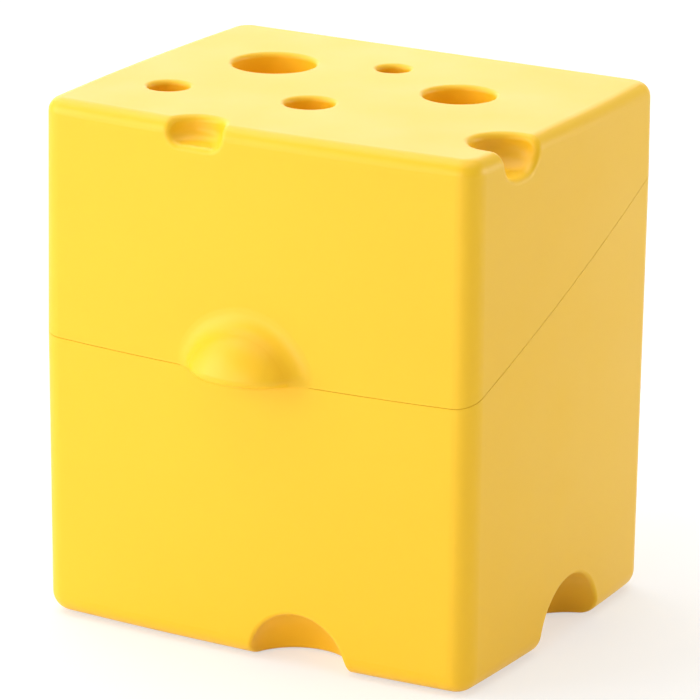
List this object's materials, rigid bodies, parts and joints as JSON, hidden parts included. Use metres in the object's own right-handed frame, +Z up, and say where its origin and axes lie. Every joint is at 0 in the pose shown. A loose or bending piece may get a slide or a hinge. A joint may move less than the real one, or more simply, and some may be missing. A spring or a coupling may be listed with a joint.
{
  "type": "cheese slice keeper",
  "caption": "Flip-top plastic keeper shaped like a block of cheese, with blind round holes, scooped base edges and a hinged sloping lid.",
  "frame": {"origin": "middle of the base, on the surface that the box stands on", "axes": "+Z up, -Y is the front with the thumb tab, +X to the right as seen from the front"},
  "size_m": [0.101, 0.0967, 0.109],
  "materials": {
    "yellow_plastic": "semi-gloss moulded polypropylene",
    "pin_steel": "drawn steel"
  },
  "bodies": {
    "base": {"body": "yellow_plastic", "hinge_pin_left": "pin_steel", "hinge_pin_right": "pin_steel"},
    "flip_lid": {"lid": "yellow_plastic"}
  },
  "joints": [
    {"name": "lid_hinge", "type": "hinge", "parent": "base", "child": "flip_lid", "pos_m": [0, 0.04315, 0.0923], "axis": [-1, 0, 0], "range_deg": [0, 110]}
  ]
}
